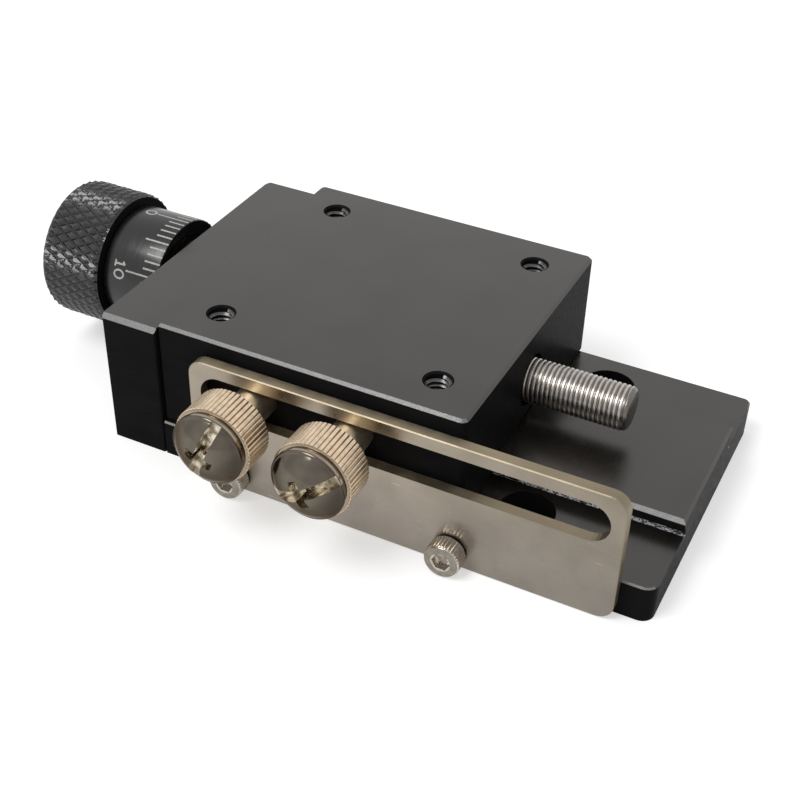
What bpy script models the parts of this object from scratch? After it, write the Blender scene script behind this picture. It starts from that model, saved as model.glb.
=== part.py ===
"""Compact dovetail slide with a graduated feed knob and a slotted lock plate.

Run with: blender --background --python part.py
Metres, +Z up. The origin is the middle of the base's underside, +X runs from the knob
along the feed screw, and -Y is the side that carries the lock plate.
"""
import math

import bmesh
import bpy
from mathutils import Matrix, Vector

mm = 0.001

# Clearances
seat = 0.2 * mm             # between faces that are bolted together
running = 0.3 * mm          # between the sliding dovetail faces, measured level
thread_gap = 0.2 * mm       # between a screw and the hole it is screwed into
socket_gap = 0.4 * mm       # round a screw head in its counterbore
tap_spare = 1.0 * mm        # between a screw's end and the floor of its hole
overshoot = 1.0 * mm        # how far a cutting tool runs past an open face
marker_size = 5.0 * mm      # of the empties on the joints' axes

# Base plate with its raised dovetail rail
base_length = 79.6 * mm
base_depth = 49.6 * mm
flange_height = 6.15 * mm
base_corner = 2.0 * mm      # at the front end of the free edge
base_back_corner = 1.2 * mm
flange_chamfer = 0.25 * mm
rail_width = 25.6 * mm
rail_rise = 3.15 * mm
rail_shift_y = -0.25 * mm
rail_chamfer = 0.47 * mm
dovetail_angle = math.radians(60.0)
relief_width = 0.9 * mm
relief_depth = 0.45 * mm

# Four counterbored holes that hold the base down
foot_pitch_x = 36.0 * mm
foot_pitch_y = 35.0 * mm
foot_hole_radius = 2.25 * mm
foot_counterbore_radius = 4.25 * mm
foot_counterbore_depth = 3.9 * mm

# Sliding table
table_length = 50.3 * mm
table_inset = 0.7 * mm      # its front face behind the base's, clear of the lock plate
table_overhang = 1.1 * mm   # its back face beyond the base's
table_height = 17.4 * mm
table_lift = 0.35 * mm      # its underside above the flanges
table_chamfer = 0.55 * mm
table_corner = 1.1 * mm
table_edge = 0.25 * mm      # the front corner next to the end block
rest_gap = 0.2 * mm         # between the table and the end block at the start of travel
rail_top_gap = 0.3 * mm
table_hole_pitch = 36.0 * mm
table_hole_shift_x = -0.4 * mm
table_hole_radius = 2.0 * mm
table_hole_depth = 12.0 * mm
table_hole_chamfer = 0.3 * mm

# End block that carries the feed screw
block_thickness = 9.5 * mm
block_depth = 49.2 * mm
block_height = 23.0 * mm
block_gap = 0.3 * mm
block_chamfer = 0.7 * mm
block_edge = 0.3 * mm
block_corner = 2.0 * mm
block_screw_pitch = 34.0 * mm
block_screw_height = 3.4 * mm
block_screw_length = 14.0 * mm
block_screw_sink = 0.3 * mm

# Feed screw, its bush and its thrust faces
screw_height = 15.2 * mm
thread_radius = 3.5 * mm
thread_length = 66.6 * mm   # from the end block's inner face
thread_chamfer = 0.7 * mm
journal_radius = 3.0 * mm
hub_seat_radius = 2.5 * mm
collar_radius = 6.2 * mm
collar_thickness = 2.2 * mm
collar_recess_depth = 3.0 * mm
collar_recess_gap = 0.4 * mm
bush_radius = 5.0 * mm
bush_flange_radius = 7.0 * mm
bush_flange_thickness = 0.8 * mm
washer_radius = 6.5 * mm
washer_thickness = 0.7 * mm

# Graduated dial and knurled knob
dial_radius = 9.7 * mm
dial_length = 10.3 * mm
dial_edge = 0.25 * mm
dial_grub_angle = math.radians(-35.0)
dial_grub_radius = 1.05 * mm
dial_grub_length = 2.1 * mm
hub_radius = 7.0 * mm
knob_radius = 11.5 * mm
knob_length = 11.0 * mm
knob_edge = 0.4 * mm
knob_dish_radius = 8.4 * mm
knob_dish_depth = 0.8 * mm
knob_web = 1.6 * mm
knob_screw_length = 8.0 * mm
knob_screw_hole_depth = 9.0 * mm

# Nut in the table
nut_radius = 4.7 * mm
nut_length = 15.0 * mm
nut_edge = 0.4 * mm
nut_grub_x = 12.0 * mm      # from the table's knob end
nut_grub_radius = 1.3 * mm
nut_grub_length = 5.0 * mm
tunnel_radius = 4.2 * mm

# Gib strip and its set screws
gib_thickness = 2.3 * mm
gib_end_gap = 0.3 * mm
gib_screw_pitch = 16.0 * mm
gib_screw_height = 8.4 * mm
gib_screw_radius = 1.2 * mm
gib_point_radius = 0.7 * mm
gib_point_length = 0.8 * mm
gib_screw_sink = 0.6 * mm

# Lock plate and its cap screws
plate_length = 67.9 * mm
plate_height = 21.6 * mm
plate_thickness = 1.8 * mm
plate_shift_x = 0.95 * mm
plate_corner = 2.6 * mm
plate_edge = 0.15 * mm
slot_height = 6.4 * mm
slot_centre_height = 16.3 * mm
slot_web = 2.0 * mm
plate_screw_inset = 7.2 * mm
plate_screw_pitch = 36.0 * mm
plate_screw_height = 2.8 * mm
plate_screw_length = 7.5 * mm

# M3 cap screw
cap_shank_radius = 1.45 * mm
cap_head_radius = 2.8 * mm
cap_head_height = 3.0 * mm
cap_edge = 0.3 * mm
cap_socket_flats = 2.5 * mm
cap_socket_depth = 1.4 * mm

# Grub screw sockets
grub_socket_flats = 1.3 * mm
grub_socket_depth = 0.9 * mm

# Knurled thumb screws that lock the table to the plate
thumb_pitch = 16.0 * mm
thumb_shift_x = 0.15 * mm
thumb_shank_radius = 2.9 * mm
thumb_reach = 8.0 * mm      # thread inside the table
thumb_hole_depth = 12.0 * mm
thumb_stand_off = 4.2 * mm  # head above the plate when it is slack
thumb_head_radius = 6.1 * mm
thumb_teeth = 36
thumb_tooth_depth = 0.3 * mm
thumb_knurl_length = 5.5 * mm
thumb_edge = 0.4 * mm
thumb_groove_radius = 5.55 * mm
thumb_groove_width = 0.35 * mm
thumb_bead_width = 0.65 * mm
thumb_bead_radius = 5.7 * mm
thumb_bead_edge = 0.4 * mm
thumb_dome_height = 2.8 * mm
thumb_slot_width = 1.5 * mm
thumb_slot_depth = 1.7 * mm
thumb_cross_length = 4.8 * mm
thumb_cross_depth = 2.4 * mm
thumb_turns = {"left": math.radians(70.0), "right": math.radians(29.0)}

# Places that follow from the sizes
base_left = -base_length / 2
base_right = base_length / 2
base_front = -base_depth / 2
base_back = base_depth / 2
rail_top = flange_height + rail_rise
rail_front = rail_shift_y - rail_width / 2
rail_back = rail_shift_y + rail_width / 2
flank_run = 1.0 / math.tan(dovetail_angle)
block_right = base_left - block_gap
block_left = block_right - block_thickness
block_back = base_front + block_depth
table_left = block_right + rest_gap
table_right = table_left + table_length
table_middle_x = table_left + table_length / 2
table_front = base_front + table_inset
table_back = base_back + table_overhang
table_middle_y = (table_front + table_back) / 2
table_bottom = flange_height + table_lift
table_top = table_bottom + table_height
pocket_top = rail_top + rail_top_gap
axis_y = table_middle_y
axis_z = screw_height
screw_end = block_right + thread_length
collar_floor = block_right - collar_recess_depth
bush_flange_face = block_left - seat - bush_flange_thickness
washer_face = bush_flange_face - seat - washer_thickness
dial_right = washer_face - seat
dial_left = dial_right - dial_length
knob_right = dial_left - seat
knob_left = knob_right - knob_length
knob_head_seat = knob_left + knob_dish_depth + seat + cap_head_height
knob_bore_end = knob_head_seat + seat + knob_web
screw_start = knob_bore_end + seat
plate_left = plate_shift_x - plate_length / 2
plate_right = plate_shift_x + plate_length / 2
plate_back = base_front - seat
plate_front = plate_back - plate_thickness
slot_radius = slot_height / 2
head_back = plate_front - thumb_stand_off

AXES = {"X": Vector((1, 0, 0)), "Y": Vector((0, 1, 0)), "Z": Vector((0, 0, 1))}
RADIAL = {"X": Vector((0, 1, 0)), "Y": Vector((1, 0, 0)), "Z": Vector((1, 0, 0))}
# The two directions of an outline that is drawn across each axis
ACROSS = {"X": (Vector((0, 1, 0)), Vector((0, 0, 1))),
          "Y": (Vector((1, 0, 0)), Vector((0, 0, 1))),
          "Z": (Vector((1, 0, 0)), Vector((0, 1, 0)))}


def clear_scene():
    """Remove every object that the file holds."""
    for obj in list(bpy.data.objects):
        bpy.data.objects.remove(obj, do_unlink=True)


def material(name, colour, roughness, metallic):
    """A plain Principled material."""
    made = bpy.data.materials.new(name)
    made.use_nodes = True
    shader = made.node_tree.nodes["Principled BSDF"]
    shader.inputs["Base Color"].default_value = (*colour, 1.0)
    shader.inputs["Roughness"].default_value = roughness
    shader.inputs["Metallic"].default_value = metallic
    made.diffuse_color = (*colour, 1.0)
    return made


def add_turned(bm, profile, axis, centre, steps, hollow=False):
    """Turn (distance along the axis, radius) pairs about the axis into a closed body."""
    fresh = bmesh.new()
    verts = [fresh.verts.new(centre + AXES[axis] * along + RADIAL[axis] * radius)
             for along, radius in profile]
    pairs = list(zip(verts, verts[1:]))
    if hollow:
        pairs.append((verts[-1], verts[0]))
    edges = [fresh.edges.new(pair) for pair in pairs]
    bmesh.ops.spin(fresh, geom=verts + edges, cent=centre, axis=AXES[axis], angle=2 * math.pi,
                   steps=steps, use_merge=True)
    bmesh.ops.remove_doubles(fresh, verts=fresh.verts, dist=1e-7)
    merge_into(bm, fresh)


def add_prism(bm, outline, axis, start, end):
    """Extrude a flat outline along an axis into a closed body."""
    first, second = ACROSS[axis]
    fresh = bmesh.new()
    verts = [fresh.verts.new(AXES[axis] * start + first * u + second * v) for u, v in outline]
    face = fresh.faces.new(verts)
    grown = bmesh.ops.extrude_face_region(fresh, geom=[face])
    moved = [item for item in grown["geom"] if isinstance(item, bmesh.types.BMVert)]
    bmesh.ops.translate(fresh, verts=moved, vec=AXES[axis] * (end - start))
    merge_into(bm, fresh)


def merge_into(bm, fresh):
    """Turn a new body's faces outward and add it to the others."""
    bmesh.ops.recalc_face_normals(fresh, faces=fresh.faces)
    mesh = bpy.data.meshes.new("body")
    fresh.to_mesh(mesh)
    fresh.free()
    bm.from_mesh(mesh)
    bpy.data.meshes.remove(mesh)


def rounded_outline(u0, u1, v0, v1, radii, steps=6):
    """A rectangle with its own radius at each corner: low-low, high-low, high-high, low-high."""
    corners = [(u0, v0, 1, 1, math.pi), (u1, v0, -1, 1, 1.5 * math.pi),
               (u1, v1, -1, -1, 0.0), (u0, v1, 1, -1, 0.5 * math.pi)]
    points = []
    for (u, v, du, dv, begin), radius in zip(corners, radii):
        if radius == 0:
            points.append((u, v))
            continue
        for step in range(steps + 1):
            turn = begin + 0.5 * math.pi * step / steps
            points.append((u + du * radius + radius * math.cos(turn),
                           v + dv * radius + radius * math.sin(turn)))
    return points


def bevel_edges(bm, chosen, width, segments=1):
    """Chamfer or round the edges for which chosen(first corner, second corner) holds."""
    edges = [edge for edge in bm.edges if chosen(edge.verts[0].co, edge.verts[1].co)]
    bmesh.ops.bevel(bm, geom=edges, offset=width, segments=segments, profile=0.5,
                    affect="EDGES", clamp_overlap=True)


def near(first, second):
    """Whether two lengths are the same to a micrometre."""
    return abs(first - second) < 1e-6


def add_empty(name, place, parent=None):
    """An empty on a joint's axis, which carries the pieces that move with it."""
    empty = bpy.data.objects.new(name, None)
    empty.empty_display_size = marker_size
    empty.location = place - (parent.matrix_world.translation if parent else Vector())
    empty.parent = parent
    bpy.context.scene.collection.objects.link(empty)
    bpy.context.view_layer.update()
    return empty


def add_object(name, bm, finish, parent=None, origin=None):
    """Make an object whose origin is its joint's axis, from a body in world places."""
    if origin is None:
        origin = parent.matrix_world.translation if parent else Vector()
    mesh = bpy.data.meshes.new(name)
    bm.to_mesh(mesh)
    bm.free()
    mesh.transform(Matrix.Translation(-origin))
    mesh.materials.append(finish)
    mesh.shade_smooth()
    mesh.set_sharp_from_angle(angle=math.radians(30))
    obj = bpy.data.objects.new(name, mesh)
    obj.parent = parent
    obj.location = origin - (parent.matrix_world.translation if parent else Vector())
    bpy.context.scene.collection.objects.link(obj)
    return obj


def cut(target, bm, label):
    """Cut a body of holes out of an object, and keep the tool as a hidden wire guide."""
    tool = add_object(f"{target.name}_{label}", bm, target.data.materials[0], target.parent)
    tool.hide_render = True
    tool.display_type = "WIRE"
    boolean = target.modifiers.new(label, "BOOLEAN")
    boolean.operation = "DIFFERENCE"
    boolean.solver = "EXACT"
    boolean.object = tool


def hole_profile(radius, low, high, mouth_radius=None, mouth_depth=0.0, bevel=0.0):
    """Profile of a hole from low to high, with its counterbore or chamfer at the high end."""
    points = [(low, 0.0), (low, radius)]
    if mouth_radius:
        points += [(high - mouth_depth, radius), (high - mouth_depth, mouth_radius)]
        radius = mouth_radius
    if bevel:
        points += [(high - bevel, radius), (high, radius + bevel)]
        radius += bevel
    points += [(high, radius)] if not bevel else []
    return points + [(high + overshoot, radius), (high + overshoot, 0.0)]


def hexagon(flats, u, v):
    """Corners of a hexagon of the given width across its flats."""
    sides = 6
    corner = flats / 2 / math.cos(math.pi / sides)
    return [(u + corner * math.cos(2 * math.pi * k / sides), v + corner * math.sin(2 * math.pi * k / sides))
            for k in range(sides)]


def flank(y_at_rail_top, z, lean):
    """The y of a dovetail flank at height z; lean is +1 on the front flank, -1 on the back."""
    return y_at_rail_top + lean * flank_run * (rail_top - z)


def build_base(finishes):
    """Flat plate with a front and a back flange, and the male dovetail rail between them."""
    foot_front = flank(rail_front, flange_height, 1)
    foot_back = flank(rail_back, flange_height, -1)
    outline = [(base_front, 0.0), (base_back, 0.0), (base_back, flange_height),
               (foot_back + relief_width, flange_height),
               (foot_back + relief_width, flange_height - relief_depth),
               (foot_back, flange_height - relief_depth), (foot_back, flange_height),
               (rail_back, rail_top), (rail_front, rail_top), (foot_front, flange_height),
               (foot_front, flange_height - relief_depth),
               (foot_front - relief_width, flange_height - relief_depth),
               (foot_front - relief_width, flange_height), (base_front, flange_height)]
    bm = bmesh.new()
    add_prism(bm, outline, "X", base_left, base_right)
    for y, corner in ((base_front, base_corner), (base_back, base_back_corner)):
        bevel_edges(bm, lambda a, b: near(a.x, base_right) and near(b.x, base_right)
                    and near(a.y, y) and near(b.y, y), corner, 6)
    bevel_edges(bm, lambda a, b: near(a.z, rail_top) and near(b.z, rail_top)
                and not (near(a.x, base_left) and near(b.x, base_left)), rail_chamfer)
    rim = relief_width + base_corner
    bevel_edges(bm, lambda a, b: near(a.z, flange_height) and near(b.z, flange_height)
                and not (near(a.x, base_left) and near(b.x, base_left))
                and (max(a.y, b.y) < foot_front - rim or min(a.y, b.y) > foot_back + rim)
                and (near(a.y, b.y) and abs(abs(a.y) - base_back) < 1e-6
                     or min(a.x, b.x) > base_right - base_corner - 1e-6), flange_chamfer)
    base = add_object("base_plate", bm, finishes["black"])

    holes = bmesh.new()
    for x in (-foot_pitch_x / 2, foot_pitch_x / 2):
        for y in (-foot_pitch_y / 2, foot_pitch_y / 2):
            add_turned(holes, hole_profile(foot_hole_radius, -overshoot, flange_height,
                                           foot_counterbore_radius, foot_counterbore_depth),
                       "Z", Vector((x, y, 0)), 32)
    cut(base, holes, "foot_holes")

    taps = bmesh.new()
    tap_radius = cap_shank_radius + thread_gap
    plate_tap_depth = plate_screw_length - plate_thickness - seat + tap_spare
    for x in plate_screw_places():
        add_turned(taps, [(-overshoot, 0), (-overshoot, tap_radius), (plate_tap_depth, tap_radius),
                          (plate_tap_depth, 0)], "Y", Vector((x, base_front, plate_screw_height)), 20)
    under_head = block_thickness - block_screw_sink - cap_head_height
    end_tap_depth = block_screw_length - under_head - block_gap + tap_spare
    for y in block_screw_places():
        add_turned(taps, [(-overshoot, 0), (-overshoot, tap_radius), (end_tap_depth, tap_radius),
                          (end_tap_depth, 0)], "X", Vector((base_left, y, block_screw_height)), 20)
    cut(base, taps, "tapped_holes")


def plate_screw_places():
    """Where along X the lock plate is screwed to the base."""
    first = plate_left + plate_screw_inset
    return first, first + plate_screw_pitch


def block_screw_places():
    """Where along Y the end block is screwed to the base."""
    middle = (base_front + block_back) / 2
    return middle - block_screw_pitch / 2, middle + block_screw_pitch / 2


def build_end_block(finishes):
    """Upright block, bored for the bush and recessed for the screw's collar."""
    outline = rounded_outline(block_left, block_right, base_front, block_back,
                              (block_edge, block_edge, block_edge, block_corner))
    bm = bmesh.new()
    add_prism(bm, outline, "Z", 0.0, block_height)
    bevel_edges(bm, lambda a, b: near(a.z, block_height) and near(b.z, block_height)
                and near(a.y, b.y) and (near(a.y, base_front) or near(a.y, block_back)), block_chamfer)
    block = add_object("end_block", bm, finishes["black"])

    bore = bmesh.new()
    centre = Vector((0, axis_y, axis_z))
    bush_bore = bush_radius + seat
    recess = collar_radius + collar_recess_gap
    add_turned(bore, [(block_left - overshoot, 0), (block_left - overshoot, bush_bore),
                      (collar_floor, bush_bore), (collar_floor, recess),
                      (block_right + overshoot, recess), (block_right + overshoot, 0)],
               "X", centre, 48)
    cut(block, bore, "screw_bore")

    holes = bmesh.new()
    head_floor = block_left + block_screw_sink + cap_head_height + seat
    for y in block_screw_places():
        add_turned(holes, [(block_left - overshoot, 0),
                           (block_left - overshoot, cap_head_radius + socket_gap),
                           (head_floor, cap_head_radius + socket_gap),
                           (head_floor, cap_shank_radius + thread_gap),
                           (block_right + overshoot, cap_shank_radius + thread_gap),
                           (block_right + overshoot, 0)],
                   "X", Vector((0, y, block_screw_height)), 24)
    cut(block, holes, "screw_holes")


def add_cap_screw(name, finish, place, axis, shank_length, parent=None):
    """M3 socket cap screw: place is under its head, and the shank runs along +axis."""
    bm = bmesh.new()
    add_turned(bm, [(-cap_head_height, 0), (-cap_head_height, cap_head_radius - cap_edge),
                    (-cap_head_height + cap_edge, cap_head_radius), (0, cap_head_radius),
                    (0, cap_shank_radius), (shank_length - cap_edge, cap_shank_radius),
                    (shank_length, cap_shank_radius - cap_edge), (shank_length, 0)],
               axis, place, 20)
    screw = add_object(name, bm, finish, parent)
    first, second = ACROSS[axis]
    face = place.dot(AXES[axis]) - cap_head_height
    socket = bmesh.new()
    add_prism(socket, hexagon(cap_socket_flats, place.dot(first), place.dot(second)), axis,
              face - overshoot, face + cap_socket_depth)
    cut(screw, socket, "socket")


def build_plate(finishes):
    """Flat lock plate on the front of the base, with the long slot for the thumb screws."""
    bm = bmesh.new()
    add_prism(bm, rounded_outline(plate_left, plate_right, 0.0, plate_height, (plate_corner,) * 4),
              "Y", plate_front, plate_back)
    bevel_edges(bm, lambda a, b: near(a.y, plate_front) and near(b.y, plate_front), plate_edge)
    plate = add_object("lock_plate", bm, finishes["nickel"])
    openings = bmesh.new()
    low = slot_centre_height - slot_radius
    add_prism(openings, rounded_outline(plate_left + slot_web, plate_right - slot_web, low,
                                        low + slot_height, (slot_radius - 1e-6,) * 4, 8),
              "Y", plate_front - overshoot, plate_back + overshoot)
    for x in plate_screw_places():
        add_turned(openings, [(plate_front - overshoot, 0),
                              (plate_front - overshoot, cap_shank_radius + thread_gap),
                              (plate_back + overshoot, cap_shank_radius + thread_gap),
                              (plate_back + overshoot, 0)],
                   "Y", Vector((x, 0, plate_screw_height)), 20)
    cut(plate, openings, "openings")


def build_table(finishes, slide):
    """Table block with the female dovetail, the screw tunnel and its four tapped holes."""
    front_fit = rail_front - running
    back_fit = rail_back + running + gib_thickness + seat
    outline = [(table_front, table_bottom), (flank(front_fit, table_bottom, 1), table_bottom),
               (flank(front_fit, pocket_top, 1), pocket_top),
               (flank(back_fit, pocket_top, -1), pocket_top),
               (flank(back_fit, table_bottom, -1), table_bottom), (table_back, table_bottom),
               (table_back, table_top), (table_front, table_top)]
    bm = bmesh.new()
    add_prism(bm, outline, "X", table_left, table_right)
    bevel_edges(bm, lambda a, b: near(a.x, table_left) and near(b.x, table_left)
                and near(a.y, table_front) and near(b.y, table_front), table_edge)
    bevel_edges(bm, lambda a, b: near(a.x, b.x) and near(a.y, b.y)
                and (near(a.y, table_front) and near(a.x, table_right)
                     or near(a.y, table_back)), table_corner, 5)
    bevel_edges(bm, lambda a, b: near(a.z, table_top) and near(b.z, table_top), table_chamfer)
    table = add_object("slide_table", bm, finishes["black"], slide)

    tops = bmesh.new()
    for x in table_hole_places():
        for y in (-table_hole_pitch / 2, table_hole_pitch / 2):
            add_turned(tops, hole_profile(table_hole_radius, table_top - table_hole_depth, table_top,
                                          bevel=table_hole_chamfer),
                       "Z", Vector((x, table_middle_y + y, 0)), 28)
    cut(table, tops, "tapped_holes")

    tunnel = bmesh.new()
    nut_bore = nut_radius + seat
    nut_floor = table_left + gib_end_gap + nut_length + seat
    add_turned(tunnel, [(table_left - overshoot, 0), (table_left - overshoot, nut_bore),
                        (nut_floor, nut_bore), (nut_floor, tunnel_radius),
                        (table_right + overshoot, tunnel_radius), (table_right + overshoot, 0)],
               "X", Vector((0, axis_y, axis_z)), 40)
    cut(table, tunnel, "screw_tunnel")

    sides = bmesh.new()
    thumb_hole = thumb_shank_radius + thread_gap
    for x in thumb_places():
        add_turned(sides, [(-overshoot, 0), (-overshoot, thumb_hole), (thumb_hole_depth, thumb_hole),
                           (thumb_hole_depth, 0)],
                   "Y", Vector((x, table_front, slot_centre_height)), 28)
    gib_hole = gib_screw_radius + thread_gap
    for x in gib_screw_places():
        add_turned(sides, [(flank(back_fit, gib_screw_height, -1) - overshoot, 0),
                           (flank(back_fit, gib_screw_height, -1) - overshoot, gib_hole),
                           (table_back + overshoot, gib_hole), (table_back + overshoot, 0)],
                   "Y", Vector((x, 0, gib_screw_height)), 16)
    grub_hole = nut_grub_radius + thread_gap
    add_turned(sides, [(axis_y + tunnel_radius, 0), (axis_y + tunnel_radius, grub_hole),
                       (table_back + overshoot, grub_hole), (table_back + overshoot, 0)],
               "Y", Vector((table_left + nut_grub_x, 0, axis_z)), 16)
    cut(table, sides, "side_holes")


def table_hole_places():
    """Where along X the table's tapped holes are."""
    middle = table_middle_x + table_hole_shift_x
    return middle - table_hole_pitch / 2, middle + table_hole_pitch / 2


def thumb_places():
    """Where along X the thumb screws go into the table."""
    middle = table_middle_x + thumb_shift_x
    return middle - thumb_pitch / 2, middle + thumb_pitch / 2


def gib_screw_places():
    """Where along X the gib's set screws are."""
    return [table_middle_x + k * gib_screw_pitch for k in (-1, 0, 1)]


def add_grub(name, finish, profile, axis, place, parent, socket_at):
    """Set screw with a hexagon socket; socket_at is the face that the key goes into."""
    bm = bmesh.new()
    add_turned(bm, profile, axis, place, 16)
    grub = add_object(name, bm, finish, parent)
    first, second = ACROSS[axis]
    socket = bmesh.new()
    add_prism(socket, hexagon(grub_socket_flats, place.dot(first), place.dot(second)), axis,
              socket_at - grub_socket_depth, socket_at + overshoot)
    cut(grub, socket, "socket")


def build_table_insides(finishes, slide):
    """Feed nut, gib strip and the set screws that hold them."""
    nut_left = table_left + gib_end_gap
    inner = thread_radius + thread_gap
    bm = bmesh.new()
    add_turned(bm, [(nut_left, inner), (nut_left, nut_radius - nut_edge), (nut_left + nut_edge, nut_radius),
                    (nut_left + nut_length - nut_edge, nut_radius),
                    (nut_left + nut_length, nut_radius - nut_edge), (nut_left + nut_length, inner)],
               "X", Vector((0, axis_y, axis_z)), 32, hollow=True)
    add_object("lead_nut", bm, finishes["brass"], slide)

    low = axis_y + nut_radius + seat
    add_grub("nut_set_screw", finishes["dark_steel"],
             [(low, 0), (low, nut_grub_radius), (low + nut_grub_length, nut_grub_radius),
              (low + nut_grub_length, 0)],
             "Y", Vector((table_left + nut_grub_x, 0, axis_z)), slide, low + nut_grub_length)

    near_face = rail_back + running
    far_face = near_face + gib_thickness
    gib_low = table_bottom + seat
    gib_high = pocket_top - seat
    bm = bmesh.new()
    add_prism(bm, [(flank(near_face, gib_low, -1), gib_low), (flank(far_face, gib_low, -1), gib_low),
                   (flank(far_face, gib_high, -1), gib_high), (flank(near_face, gib_high, -1), gib_high)],
              "X", table_left + gib_end_gap, table_right - gib_end_gap)
    add_object("gib_strip", bm, finishes["brass"], slide)

    tip = flank(far_face, gib_screw_height + gib_point_radius, -1) + seat
    shoulder = tip + gib_point_length
    tail = table_back - gib_screw_sink
    for number, x in enumerate(gib_screw_places(), 1):
        add_grub(f"gib_set_screw_{number}", finishes["dark_steel"],
                 [(tip, 0), (tip, gib_point_radius), (shoulder, gib_point_radius),
                  (shoulder, gib_screw_radius), (tail, gib_screw_radius), (tail, 0)],
                 "Y", Vector((x, 0, gib_screw_height)), slide, tail)


def build_screw_bearing(finishes):
    """Flanged bush in the end block and the thrust washer outside it."""
    centre = Vector((0, axis_y, axis_z))
    bore = journal_radius + thread_gap
    bm = bmesh.new()
    add_turned(bm, [(bush_flange_face, bore), (bush_flange_face, bush_flange_radius),
                    (block_left - seat, bush_flange_radius), (block_left - seat, bush_radius),
                    (collar_floor, bush_radius), (collar_floor, bore)],
               "X", centre, 36, hollow=True)
    add_object("screw_bush", bm, finishes["brass"])
    bm = bmesh.new()
    add_turned(bm, [(washer_face, bore), (washer_face, washer_radius),
                    (washer_face + washer_thickness, washer_radius),
                    (washer_face + washer_thickness, bore)],
               "X", centre, 36, hollow=True)
    add_object("thrust_washer", bm, finishes["dark_steel"])


def build_feed_screw(finishes, spindle):
    """Screw with its collar, journal and knob seat, in one turned piece."""
    centre = Vector((0, axis_y, axis_z))
    shoulder = dial_right + seat
    collar_left = collar_floor + seat
    collar_right = collar_left + collar_thickness
    bm = bmesh.new()
    add_turned(bm, [(screw_start, 0), (screw_start, hub_seat_radius), (shoulder, hub_seat_radius),
                    (shoulder, journal_radius), (collar_left, journal_radius),
                    (collar_left, collar_radius), (collar_right, collar_radius),
                    (collar_right, thread_radius), (screw_end - thread_chamfer, thread_radius),
                    (screw_end, thread_radius - thread_chamfer), (screw_end, 0)],
               "X", centre, 36)
    screw = add_object("lead_screw", bm, finishes["steel"], spindle)
    tap = bmesh.new()
    radius = cap_shank_radius + thread_gap
    add_turned(tap, [(screw_start - overshoot, 0), (screw_start - overshoot, radius),
                     (screw_start + knob_screw_hole_depth, radius),
                     (screw_start + knob_screw_hole_depth, 0)], "X", centre, 20)
    cut(screw, tap, "end_tap")


def build_dial(finishes, spindle):
    """Graduated sleeve on the knob's hub, held by its own set screw."""
    centre = Vector((0, axis_y, axis_z))
    inner = hub_radius + seat
    bm = bmesh.new()
    add_turned(bm, [(dial_left, inner), (dial_left, dial_radius - dial_edge),
                    (dial_left + dial_edge, dial_radius), (dial_right - dial_edge, dial_radius),
                    (dial_right, dial_radius - dial_edge), (dial_right, inner)],
               "X", centre, 60, hollow=True)
    dial = add_object("dial_sleeve", bm, finishes["black"], spindle)

    middle = Vector(((dial_left + dial_right) / 2, axis_y, axis_z))
    turn = Matrix.Translation(middle) @ Matrix.Rotation(dial_grub_angle - math.pi / 2, 4, "X")
    hole = bmesh.new()
    hole_radius = dial_grub_radius + thread_gap
    add_turned(hole, [(hub_radius - overshoot, 0), (hub_radius - overshoot, hole_radius),
                      (dial_radius + overshoot, hole_radius), (dial_radius + overshoot, 0)],
               "Z", Vector(), 16)
    bmesh.ops.transform(hole, matrix=turn, verts=hole.verts)
    cut(dial, hole, "set_screw_hole")

    grub_low = hub_radius + seat
    bm = bmesh.new()
    add_turned(bm, [(grub_low, 0), (grub_low, dial_grub_radius),
                    (grub_low + dial_grub_length, dial_grub_radius), (grub_low + dial_grub_length, 0)],
               "Z", Vector(), 16)
    bmesh.ops.transform(bm, matrix=turn, verts=bm.verts)
    grub = add_object("dial_set_screw", bm, finishes["dark_steel"], spindle)
    socket = bmesh.new()
    add_prism(socket, hexagon(grub_socket_flats, 0, 0), "Z",
              grub_low + dial_grub_length - grub_socket_depth, grub_low + dial_grub_length + overshoot)
    bmesh.ops.transform(socket, matrix=turn, verts=socket.verts)
    cut(grub, socket, "socket")


def build_knob(finishes, spindle):
    """Knurled knob with a long hub, dished at its outer face for the screw that holds it."""
    centre = Vector((0, axis_y, axis_z))
    seat_bore = hub_seat_radius + thread_gap
    head_bore = cap_head_radius + socket_gap
    dish_floor = knob_left + knob_dish_depth
    head_floor = knob_head_seat + seat
    bm = bmesh.new()
    add_turned(bm, [(knob_left, knob_dish_radius), (knob_left, knob_radius - knob_edge),
                    (knob_left + knob_edge, knob_radius), (knob_right - knob_edge, knob_radius),
                    (knob_right, knob_radius - knob_edge), (knob_right, hub_radius),
                    (dial_right, hub_radius), (dial_right, seat_bore), (knob_bore_end, seat_bore),
                    (knob_bore_end, cap_shank_radius + thread_gap),
                    (head_floor, cap_shank_radius + thread_gap), (head_floor, head_bore),
                    (dish_floor, head_bore), (dish_floor, knob_dish_radius - knob_edge)],
               "X", centre, 60, hollow=True)
    add_object("knob", bm, finishes["knurl"], spindle)
    add_cap_screw("knob_screw", finishes["dark_steel"], Vector((knob_head_seat, axis_y, axis_z)),
                  "X", knob_screw_length, spindle)


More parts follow.
